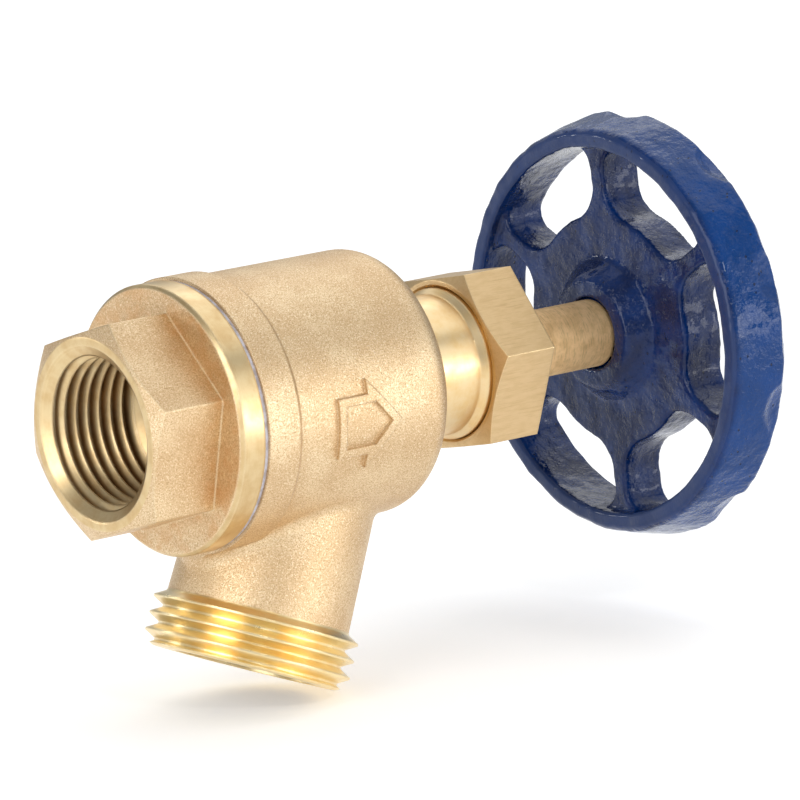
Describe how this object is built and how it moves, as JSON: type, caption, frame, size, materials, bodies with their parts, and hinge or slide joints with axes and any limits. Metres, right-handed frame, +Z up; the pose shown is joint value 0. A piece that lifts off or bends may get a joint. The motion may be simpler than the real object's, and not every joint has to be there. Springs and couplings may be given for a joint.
{
  "type": "globe valve",
  "caption": "Brass angle-pattern globe valve with a threaded hex inlet, an angled hose-thread outlet and a blue cast handwheel on a rising stem.",
  "frame": {"origin": "centre of the inlet's end face, on the stem's axis", "axes": "+X along the stem's axis from the inlet face to the handwheel, +Z up, with the outlet pointing down and leaning towards the inlet"},
  "size_m": [0.0959, 0.0576, 0.0671],
  "materials": {
    "cast_brass": "shot-blasted cast brass with turned faces",
    "drawn_brass": "drawn bar with lengthwise lines",
    "stem_brass": "turned, slightly dull",
    "inner_brass": "turned",
    "gasket_fibre": "matt",
    "packing_fibre": "braided",
    "seat_rubber": "matt",
    "steel": "plated",
    "wheel_enamel": "gloss blue enamel over a rough casting"
  },
  "bodies": {
    "valve": {"inlet_adapter": "cast_brass", "body_gasket": "gasket_fibre", "valve_body": "cast_brass", "packing_washer": "inner_brass", "packing_ring_inner": "packing_fibre", "packing_ring_middle": "packing_fibre", "packing_ring_outer": "packing_fibre", "packing_gland": "inner_brass", "packing_nut": "drawn_brass"},
    "disc": {"disc_holder": "inner_brass", "seat_washer": "seat_rubber", "washer_retainer": "inner_brass", "disc_screw": "inner_brass", "retaining_clip": "steel"},
    "stem_and_wheel": {"stem": "stem_brass", "handwheel": "wheel_enamel", "handwheel_washer": "steel", "handwheel_screw": "steel"}
  },
  "joints": [
    {"name": "stem_lift", "type": "slide", "parent": "valve", "child": "disc", "axis": [-1, 0, 0], "range_m": [0, 0.006]},
    {"name": "handwheel_turn", "type": "hinge", "parent": "disc", "child": "stem_and_wheel", "pos_m": [0.08202, 0, 0], "axis": [-1, 0, 0], "range_deg": [0, 1080]}
  ],
  "couplings": [
    {"joint": "stem_lift", "follows": "handwheel_turn", "m_per_rad": 0.00031831}
  ]
}
